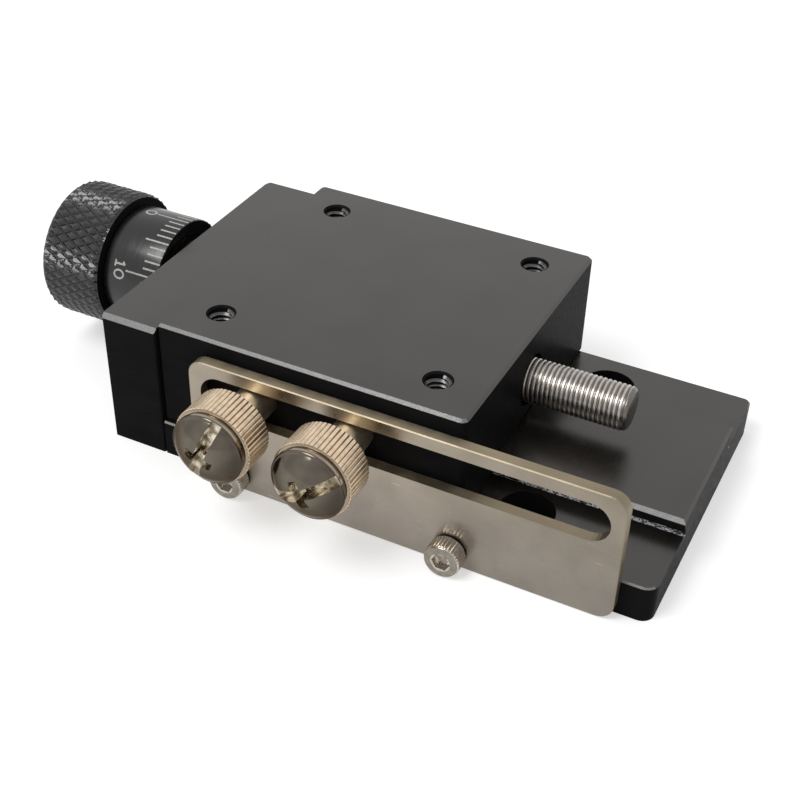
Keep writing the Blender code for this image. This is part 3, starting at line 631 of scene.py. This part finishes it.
def build_knob(side):
    """Knob with a diamond knurl, on the same hub as the CAD solid."""
    low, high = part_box("knob")
    dial_low, dial_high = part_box("dial_sleeve")
    radius = (high.z - low.z) / 2
    length = dial_low.x - dial_gap - low.x
    hub = dial_high.x - low.x
    columns = knurl_around * knurl_steps
    count = round(length / (knurl_lead / knurl_steps))
    dish = [(knob_head_floor, knob_screw_bore), (knob_head_floor, knob_head_bore),
            (knob_dish_depth, knob_head_bore), (knob_dish_depth, knob_dish_radius - knob_dish_edge),
            (0.0, knob_dish_radius)]
    rings = [ring(along, size, columns) for along, size in dish]
    for row in range(count + 1):
        along = length * row / count
        limit = radius - knob_chamfer + min(along, length - along)
        points = []
        for column in range(columns):
            size = min(limit, radius - knurl_depth * (1.0 - knurl_height(row, column)))
            angle = 2 * math.pi * column / columns
            points.append(Vector((along, size * math.cos(angle), size * math.sin(angle))))
        rings.append(points)
    bored = [(length, hub_radius), (hub, hub_radius), (hub, knob_bore), (knob_bore_floor, knob_bore),
             (knob_bore_floor, knob_screw_bore)]
    rings += [ring(along, size, columns) for along, size in bored]
    bm = bmesh.new()
    rows = skin(bm, rings)
    for k in range(columns):
        bm.faces.new((rows[-1][k - 1], rows[-1][k], rows[0][k], rows[0][k - 1]))
    for face in list(bm.faces):
        if face.calc_center_median().x > length - 1e-6:
            face.material_index = 1
        elif len(face.verts) == 4:
            split_on_groove(face)
    knob = add_piece("knob_dressed", bm, [knurled_black(radius), side], "spindle",
                     spindle_axis(low.x), sharp=knurl_crease)
    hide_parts("knob")


def split_on_groove(face):
    """Split a knurl face along the diagonal whose ends are level, as the grooves run."""
    radii = [math.hypot(vert.co.y, vert.co.z) for vert in face.verts]
    if max(radii) - min(radii) < 1e-7:
        return
    first = abs(radii[0] - radii[2])
    second = abs(radii[1] - radii[3])
    pair = (0, 2) if first < second else (1, 3)
    bmesh.utils.face_split(face, face.verts[pair[0]], face.verts[pair[1]])


def build_dial():
    """Turned dial with rounded rims, and the hole of its set screw."""
    low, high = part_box("dial_sleeve")
    radius = (high.z - low.z) / 2
    length = high.x - low.x
    profile = [(0.0, dial_bore), (0.0, radius - 0.30 * mm), (0.06 * mm, radius - 0.12 * mm),
               (0.20 * mm, radius - 0.02 * mm), (0.32 * mm, radius), (length - 0.22 * mm, radius),
               (length - 0.10 * mm, radius - 0.03 * mm), (length, radius - 0.14 * mm), (length, dial_bore)]
    bm = bmesh.new()
    rows = skin(bm, [ring(along, size, dial_columns) for along, size in profile])
    for k in range(dial_columns):
        bm.faces.new((rows[-1][k - 1], rows[-1][k], rows[0][k], rows[0][k - 1]))
    dial = add_piece("dial_dressed", bm, [turned_black()], "spindle", spindle_axis(low.x))
    screw = middle_of("dial_set_screw")
    outward = screw - spindle_axis(screw.x)
    tool = bmesh.new()
    bmesh.ops.create_cone(tool, cap_ends=True, segments=32, radius1=dial_screw_bore,
                          radius2=dial_screw_bore, depth=dial_screw_depth)
    turn = Vector((0, 0, 1)).rotation_difference(outward).to_matrix().to_4x4()
    middle = Vector((screw.x - low.x, 0, 0)) + outward.normalized() * (radius - 1 * mm)
    bmesh.ops.transform(tool, matrix=Matrix.Translation(middle) @ turn, verts=tool.verts)
    carve(dial, [tool])
    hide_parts("dial_sleeve")


def stroke(points, width):
    """Outline of a stroke through flat points, as left and right sides."""
    left, right = [], []
    for k, point in enumerate(points):
        ahead = points[min(k + 1, len(points) - 1)]
        behind = points[max(k - 1, 0)]
        along = (ahead - behind).normalized()
        side = Vector((-along.y, along.x)) * width / 2
        left.append(point + side)
        right.append(point - side)
    return left, right


def arc(centre, radii, start, end, steps=14):
    """Points on an ellipse between two angles in degrees."""
    points = []
    for k in range(steps + 1):
        angle = math.radians(start + (end - start) * k / steps)
        points.append(Vector((centre[0] + radii[0] * math.cos(angle),
                              centre[1] + radii[1] * math.sin(angle))))
    return points


def digit_strokes(digit):
    """Strokes of a digit in a box one wide and one high."""
    return {
        "0": [arc((0.5, 0.5), (0.42, 0.44), 0, 360, 28)],
        "1": [[Vector((0.22, 0.78)), Vector((0.40, 0.84)), Vector((0.52, 0.98))],
              [Vector((0.52, 0.98)), Vector((0.52, 0.05))],
              [Vector((0.20, 0.04)), Vector((0.84, 0.04))]],
        "2": [arc((0.5, 0.70), (0.38, 0.26), 170, -40, 14) + [Vector((0.12, 0.05))],
              [Vector((0.10, 0.05)), Vector((0.92, 0.05))]],
        "3": [arc((0.46, 0.73), (0.36, 0.22), 155, -90, 14),
              arc((0.46, 0.28), (0.42, 0.24), 90, -155, 14)],
        "4": [[Vector((0.70, 0.02)), Vector((0.70, 0.98)), Vector((0.08, 0.30)), Vector((0.94, 0.30))]],
    }[digit]


def on_dial(along, angle, radius):
    """A point on the dial's skin, measured from the middle of its inner end."""
    return Vector((-along, radius * math.cos(angle), radius * math.sin(angle)))


def add_ribbon(bm, left, right, radius):
    """A thin closed strip on the dial; the sides are (along, angle) pairs."""
    rings = []
    for (a0, t0), (a1, t1) in zip(left, right):
        rings.append([on_dial(a0, t0, radius - mark_depth), on_dial(a1, t1, radius - mark_depth),
                      on_dial(a1, t1, radius + mark_height), on_dial(a0, t0, radius + mark_height)])
    rows = skin(bm, rings)
    bm.faces.new(rows[0])
    bm.faces.new(rows[-1][::-1])


def build_dial_marks():
    """White ticks and numbers of the dial."""
    low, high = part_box("dial_sleeve")
    radius = (high.z - low.z) / 2
    bm = bmesh.new()
    for tick in range(divisions):
        angle = zero_angle + 2 * math.pi * tick / divisions
        every = next(step for step in (10, 5, 1) if tick % step == 0)
        half = tick_width / 2 / radius
        ends = (tick_start, tick_start + tick_lengths[every])
        add_ribbon(bm, [(along, angle - half) for along in ends],
                   [(along, angle + half) for along in ends], radius)
    for tick in range(0, divisions, 10):
        text = str(tick)
        span = len(text) * digit_width + (len(text) - 1) * digit_gap
        for place, digit in enumerate(text):
            begin = place * (digit_width + digit_gap) - span / 2
            for points in digit_strokes(digit):
                placed = [Vector((begin + point.x * digit_width, point.y * digit_height))
                          for point in points]
                sides = []
                for side in stroke(placed, digit_stroke):
                    sides.append([(digit_foot + digit_height - point.y,
                                   zero_angle + 2 * math.pi * tick / divisions + point.x / radius)
                                  for point in side])
                add_ribbon(bm, sides[0], sides[1], radius)
    add_piece("dial_marks", bm, [painted()], "spindle", spindle_axis(high.x))


def build_feed_screw():
    """Feed screw with a real thread, on the same core as the CAD solid."""
    low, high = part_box("lead_screw")
    core = feed_radius - feed_depth
    length = high.x - low.x
    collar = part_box("end_block")[1].x - collar_sink - low.x
    collar_end = collar + collar_width
    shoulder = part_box("dial_sleeve")[1].x + dial_gap - low.x
    profile = [(0.0, 0.0), (0.0, knob_seat_radius), (shoulder, knob_seat_radius),
               (shoulder, journal_radius), (collar, journal_radius), (collar, collar_radius),
               (collar_end, collar_radius), (collar_end, core), (length - 0.4 * mm, core),
               (length - 0.08 * mm, core - 0.3 * mm), (length, core - 0.45 * mm), (length, 0.0)]
    bm = bmesh.new()
    skin(bm, [ring(along, size, core_columns) for along, size in profile])
    foot, flat = feed_pitch * feed_foot, feed_pitch * feed_crest
    section = [(0.0, core - thread_root), (foot, core - thread_root),
               ((foot + flat) / 2, feed_radius), ((foot - flat) / 2, feed_radius)]

    def tapered(along, size):
        return min(size, feed_radius - max(0.0, along - (length - feed_chamfer)))

    coil(bm, collar_end + 0.1 * mm, length - feed_pitch, feed_pitch, section, tapered, feed_steps)
    steel = grooved("screw_steel", (0.16, 0.145, 0.13), (0.47, 0.44, 0.405), core - 0.02 * mm,
                    feed_radius - 0.04 * mm, (0.24, 0.40))
    screw = add_piece("lead_screw_dressed", bm, [steel], "spindle", spindle_axis(low.x))
    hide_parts("lead_screw")


def build_tapped_threads():
    """Threads inside the four holes in the table's top."""
    black = tapped_black()
    quarter = Matrix.Rotation(0.5 * math.pi, 4, "Y")
    for number, place in enumerate(tapped_places(), 1):
        bm = bmesh.new()
        section = [(0.0, tap_radius + thread_root), (tap_pitch * tap_foot, tap_radius + thread_root),
                   (tap_pitch * tap_crest[1], tap_radius - tap_depth),
                   (tap_pitch * tap_crest[0], tap_radius - tap_depth)]
        coil(bm, tap_start, tap_end, tap_pitch, section, lambda along, size: size, tap_steps)
        add_piece(f"table_thread_{number}", bm, [black], "table", place, quarter)


def hexagon_radius(angle):
    """Radius of the socket's hexagon at an angle."""
    swing = (angle % (math.pi / 3)) - math.pi / 6
    return cap_socket_flats / 2 / math.cos(swing)


def build_cap_screw(node, axis, body, materials):
    """Cap screw with a knurled head and a hexagon socket, in place of its CAD solid."""
    low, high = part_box(node)
    centre = middle_of(node)
    columns = cap_ridges * 4
    if axis == "X":
        turn, start, length = Matrix.Identity(4), Vector((low.x, centre.y, centre.z)), high.x - low.x
    else:
        turn = Matrix.Rotation(0.5 * math.pi, 4, "Z")
        start, length = Vector((centre.x, low.y, centre.z)), high.y - low.y

    def toothed(angle):
        wave = 0.5 + 0.5 * math.cos(cap_ridges * angle)
        return cap_head_radius - cap_tooth * (1 - wave)

    rim = cap_head_radius - cap_tooth
    rounded = [(cap_edge * (1 - math.cos(swing)), rim - cap_edge * (1 - math.sin(swing)))
               for swing in (0.0, 0.4, 0.8, 1.2, 1.55)]
    half = cap_socket_flats / 2
    socket = [(cap_socket_depth + cap_socket_cone, 0.0), (cap_socket_depth, half * cap_socket_floor),
              (cap_socket_depth, hexagon_radius), (0.12 * mm, hexagon_radius),
              (0.0, half * cap_socket_mouth)]
    outside = [(0.0, half * cap_socket_mouth)] + rounded
    outside += [(cap_edge + 0.12 * mm, toothed), (cap_head_height - 0.30 * mm, toothed),
                (cap_head_height - 0.18 * mm, rim), (cap_head_height, rim - 0.1 * mm),
                (cap_head_height, cap_shank_radius), (length - cap_edge, cap_shank_radius),
                (length, cap_shank_radius - cap_edge), (length, 0.0)]
    bm = bmesh.new()
    skin(bm, [ring(along, size, columns) for along, size in socket], finish=1)
    skin(bm, [ring(along, size, columns) for along, size in outside])
    screw = add_piece(f"{node}_dressed", bm, materials, body, start, turn)
    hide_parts(node)


def build_thumb_screw(side, finishes):
    """Thumb screw with a fine straight knurl, a round shoulder and a domed, cross-slotted face."""
    node = f"thumb_screw_{side}"
    low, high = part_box(node)
    centre = middle_of(node)
    length = high.y - low.y
    columns = thumb_ridges * thumb_ridge_steps
    dome_rim = thumb_bead_radius - thumb_bead_edge
    rise = thumb_dome_height - thumb_bead_edge
    ball = (dome_rim ** 2 + rise ** 2) / (2 * rise)
    swing = math.asin(dome_rim / ball)

    def toothed(angle):
        share = (angle / (2 * math.pi) * thumb_ridges) % 1.0
        aside = min(share, 1.0 - share)
        groove = max(0.0, 1.0 - aside / thumb_groove_share)
        crown = 0.08 * (1.0 - 2 * aside) ** 2
        return thumb_radius - thumb_tooth * max(groove, crown)

    dome = [(ball * (1 - math.cos(swing * k / thumb_dome_steps)),
             ball * math.sin(swing * k / thumb_dome_steps)) for k in range(thumb_dome_steps + 1)]
    quarter = math.pi / 2 / thumb_bead_steps
    edge = [(rise + thumb_bead_edge * (1 - math.cos(k * quarter)),
             dome_rim + thumb_bead_edge * math.sin(k * quarter)) for k in range(thumb_bead_steps + 1)]
    bead = thumb_dome_height
    neck = thumb_bead_radius - thumb_neck_depth
    back = thumb_head_length
    turned = [(bead + 0.42 * mm, thumb_bead_radius), (bead + 0.52 * mm, thumb_bead_radius - 0.06 * mm),
              (bead + 0.62 * mm, neck), (bead + 0.92 * mm, neck), (bead + 0.98 * mm, thumb_bead_radius),
              (bead + 1.10 * mm, thumb_radius - thumb_tooth)]
    rear = [(back - 0.40 * mm, thumb_radius - thumb_tooth), (back - 0.12 * mm, thumb_radius - 0.7 * mm),
            (back, thumb_radius - 0.95 * mm), (back, thumb_shank_radius + 0.2 * mm),
            (back + 0.2 * mm, thumb_shank_radius), (length - 0.4 * mm, thumb_shank_radius),
            (length, thumb_shank_radius - 0.4 * mm), (length, 0.0)]
    bm = bmesh.new()
    skin(bm, [ring(along, size, columns) for along, size in dome + edge[1:]])
    skin(bm, [ring(along, size, columns) for along, size in edge[-1:] + turned], finish=3)
    skin(bm, [ring(turned[-1][0], turned[-1][1], columns), ring(bead + 1.22 * mm, toothed, columns),
              ring(back - 0.5 * mm, toothed, columns), ring(rear[0][0], rear[0][1], columns)], finish=1)
    # The shank behind the head takes the neck's finish, painted light
    skin(bm, [ring(along, size, columns) for along, size in rear], finish=4)
    screw = add_piece(f"{node}_dressed", bm, finishes, f"thumb_{side}",
                      Vector((centre.x, low.y, centre.z)), Matrix.Rotation(0.5 * math.pi, 4, "Z"))
    carve(screw, slot_tools(thumb_turns[side]))
    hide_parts(node)


def slot_tools(turned):
    """Tools for the long driver's slot and the tapered cross in a thumb screw's dome."""
    half = thumb_slot_half
    mouth, foot = (half * share for share in thumb_cross_share)
    shapes = [(0.0, 2 * thumb_radius, 2 * thumb_radius, half, half, thumb_slot_depth)]
    for lean in (0.0, 0.5 * math.pi):
        shapes.append((lean, thumb_cross_reach, thumb_cross_foot, mouth, foot, thumb_cross_depth))
    tools = []
    for lean, reach, foot_reach, width, foot_width, depth in shapes:
        bm = bmesh.new()
        rows = []
        for along, long_half, wide_half in ((-thumb_cut_above, reach, width),
                                            (depth, foot_reach, foot_width)):
            rows.append([bm.verts.new((along, long_half * u, wide_half * v))
                         for u, v in ((-1, -1), (1, -1), (1, 1), (-1, 1))])
        for k in range(4):
            bm.faces.new((rows[0][k - 1], rows[0][k], rows[1][k], rows[1][k - 1]))
        bm.faces.new(rows[0])
        bm.faces.new(rows[1][::-1])
        for face in bm.faces:
            face.material_index = 2
        bmesh.ops.rotate(bm, matrix=Matrix.Rotation(-turned - lean, 3, "X"), verts=bm.verts)
        tools.append(bm)
    return tools


def paint(node, material):
    """Put a material on every slot of a CAD node."""
    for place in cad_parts[node].material_slots:
        place.material = material


def dress_nodes():
    """Finish the black parts, the lock plate and the small pieces inside."""
    finishes = [anodised_sides(), anodised_tops(), machined_edges(), torn_relief()]
    low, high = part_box("base_plate")
    base = dress_black("base_plate", "base", (flange_top, high.z), finishes)
    # The rail's front chamfer gets the pale chamfer finish, a painted highlight
    chamfer(base, low.x, high.x, [(rail_front, high.z, 1, rail_chamfer, 2)])
    low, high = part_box("end_block")
    block = dress_black("end_block", "base", (high.z,), finishes)
    # The block's front chamfer gets the pale finish, a painted highlight; its back chamfer keeps the tops'
    # finish
    chamfer(block, low.x, high.x, [(low.y, high.z, 1, block_chamfer, 2),
                                   (high.y, high.z, -1, block_chamfer, 1)])
    dress_black("slide_table", "table", (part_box("slide_table")[1].z,), finishes)
    paint("lock_plate", lock_plate_metal())
    brass = plated("turned_brass", (0.42, 0.29, 0.12), roughness=(0.26, 0.40))
    for node in ("lead_nut", "gib_strip"):
        paint(node, brass)
    dull = plated("blackened_steel", (0.030, 0.029, 0.028), roughness=(0.34, 0.48))
    for node in ("nut_set_screw", "gib_set_screw_1", "gib_set_screw_2", "gib_set_screw_3",
                 "dial_set_screw", "thrust_washer"):
        paint(node, dull)
    paint("screw_bush", plated("oiled_bronze", (0.10, 0.075, 0.045), roughness=(0.30, 0.44)))
    return finishes[0], dull


def build_screws(dull):
    """Thumb screws and cap screws."""
    crest = thumb_radius - 0.03 * mm
    dome = domed_nickel()
    knurl = grooved("knurl_gold", (0.22, 0.15, 0.09), (0.72, 0.57, 0.41), crest - thumb_tooth * 0.8, crest,
                    (0.26, 0.38))
    bead = plated("bead_gold", (0.32, 0.265, 0.20), roughness=(0.10, 0.18))
    # Painted light: the neck sits in the head's shade, so its gold is paler than the knurl's
    neck = plated("neck_gold_painted_light", (0.92, 0.78, 0.58), roughness=(0.30, 0.42))
    cut = battered_nickel()
    nickel = grooved("cap_nickel", (0.26, 0.235, 0.195), (0.56, 0.52, 0.46),
                     cap_head_radius - cap_tooth * 1.6, cap_head_radius - cap_tooth, (0.14, 0.26))
    socket = plated("socket_nickel", (0.50, 0.47, 0.43), roughness=(0.12, 0.26), relief=0.02 * mm)
    for side in ("left", "right"):
        build_thumb_screw(side, [dome, knurl, cut, bead, neck])
        build_cap_screw(f"lock_plate_screw_{side}", "Y", "base", [nickel, socket])
    for side in ("front", "back"):
        build_cap_screw(f"end_block_screw_{side}", "X", "base", [dull, dull])
    build_cap_screw("knob_screw", "X", "spindle", [dull, dull])


def build_camera():
    """Camera at the photograph's place."""
    data = bpy.data.cameras.new("view")
    data.sensor_width = camera_sensor
    data.lens = camera_focal_pixels * camera_sensor / camera_frame_pixels
    data.clip_start = camera_near
    camera = bpy.data.objects.new("view", data)
    camera.matrix_world = (Matrix.Translation(camera_place) @ Matrix.Rotation(camera_azimuth, 4, "Z")
                           @ Matrix.Rotation(0.5 * math.pi - camera_drop, 4, "X")
                           @ Matrix.Rotation(camera_roll, 4, "Z"))
    bpy.context.scene.collection.objects.link(camera)
    bpy.context.scene.camera = camera


def build_lamp():
    """Soft square lamp aimed at the object."""
    data = bpy.data.lights.new("key", "AREA")
    data.shape = "SQUARE"
    data.size = lamp_size
    data.energy = lamp_watts
    lamp = bpy.data.objects.new("key", data)
    lamp.location = lamp_place
    lamp.rotation_euler = (lamp_aim - lamp_place).to_track_quat("-Z", "Y").to_euler()
    bpy.context.scene.collection.objects.link(lamp)


def backdrop_rays(nodes, links):
    """One where a ray comes from the camera, a reflection or a transmission, and zero elsewhere."""
    rays = nodes.new("ShaderNodeLightPath")
    found = rays.outputs["Is Camera Ray"]
    for kind in ("Is Glossy Ray", "Is Transmission Ray"):
        either = nodes.new("ShaderNodeMath")
        either.operation = "MAXIMUM"
        links.new(found, either.inputs[0])
        links.new(rays.outputs[kind], either.inputs[1])
        found = either.outputs[0]
    return found


def build_floor():
    """Pale floor that keeps the object's shadow and shows white elsewhere."""
    bm = bmesh.new()
    bmesh.ops.create_grid(bm, x_segments=1, y_segments=1, size=floor_half)
    mesh = bpy.data.meshes.new("floor")
    bm.to_mesh(mesh)
    bm.free()
    floor = bpy.data.objects.new("floor", mesh)
    floor.location.z = -floor_drop
    finish = Finish("floor_white", specular=0.0)
    finish.colour((floor_grey, floor_grey, floor_grey))
    finish.roughness(0.9)
    finish.shader.inputs["Emission Color"].default_value = white
    seen = backdrop_rays(finish.tree.nodes, finish.tree.links)
    finish.feed(finish.shader.inputs["Emission Strength"], finish.maths("MULTIPLY", seen, floor_glow))
    mesh.materials.append(finish.made)
    bpy.context.scene.collection.objects.link(floor)


def build_surround():
    """White surround, dimmer as a light than as a backdrop."""
    world = bpy.data.worlds.new("surround")
    bpy.context.scene.world = world
    world.use_nodes = True
    nodes, links = world.node_tree.nodes, world.node_tree.links
    background = nodes["Background"]
    strength = nodes.new("ShaderNodeMapRange")
    links.new(backdrop_rays(nodes, links), strength.inputs["Value"])
    strength.inputs["To Min"].default_value = surround_light
    strength.inputs["To Max"].default_value = surround_seen
    links.new(strength.outputs["Result"], background.inputs["Strength"])
    background.inputs["Color"].default_value = white


def main():
    """Dress the frame, then set the stage."""
    bpy.context.scene.view_settings.view_transform = "Standard"
    side, dull = dress_nodes()
    build_knob(side)
    build_dial()
    build_dial_marks()
    build_feed_screw()
    build_tapped_threads()
    build_screws(dull)
    build_floor()
    build_lamp()
    build_surround()
    build_camera()


main()
